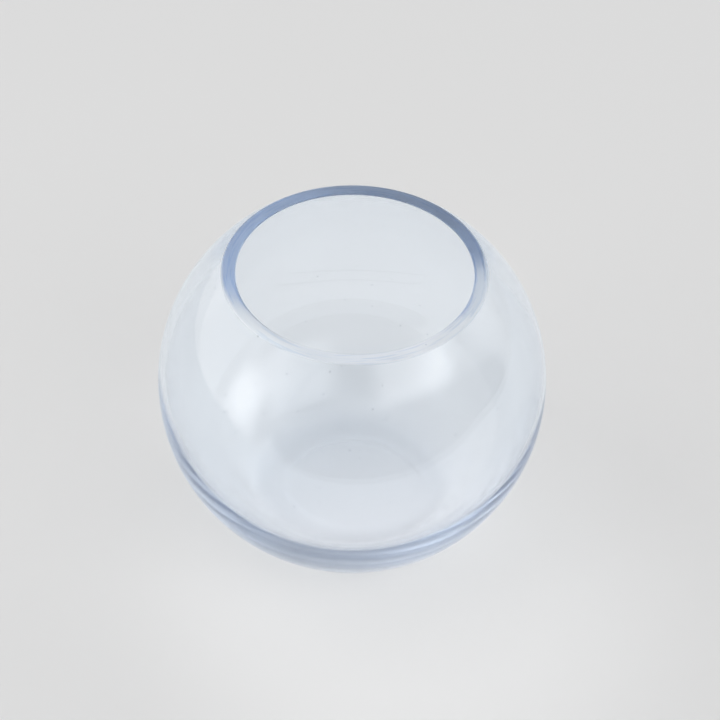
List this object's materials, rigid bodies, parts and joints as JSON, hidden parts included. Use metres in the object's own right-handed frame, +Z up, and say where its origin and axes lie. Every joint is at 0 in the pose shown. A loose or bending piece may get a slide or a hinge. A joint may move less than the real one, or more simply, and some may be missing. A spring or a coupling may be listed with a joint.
{
  "type": "rose bowl vase",
  "caption": "Globe-shaped clear glass vase with a flat cut mouth, a wall that thickens downwards and a flattened foot, used to hold water and short cut flowers.",
  "frame": {"origin": "centre of the foot ring, on the plane that the bowl stands on", "axes": "+Z up along the axis of the bowl, through the middle of the mouth"},
  "size_m": [0.15, 0.15, 0.1192],
  "materials": {
    "pale_blue_glass": "clear blown glass with a faint blue tint, ground and polished at the rim"
  },
  "bodies": {
    "root": {"glass_bowl": "pale_blue_glass"}
  },
  "joints": []
}
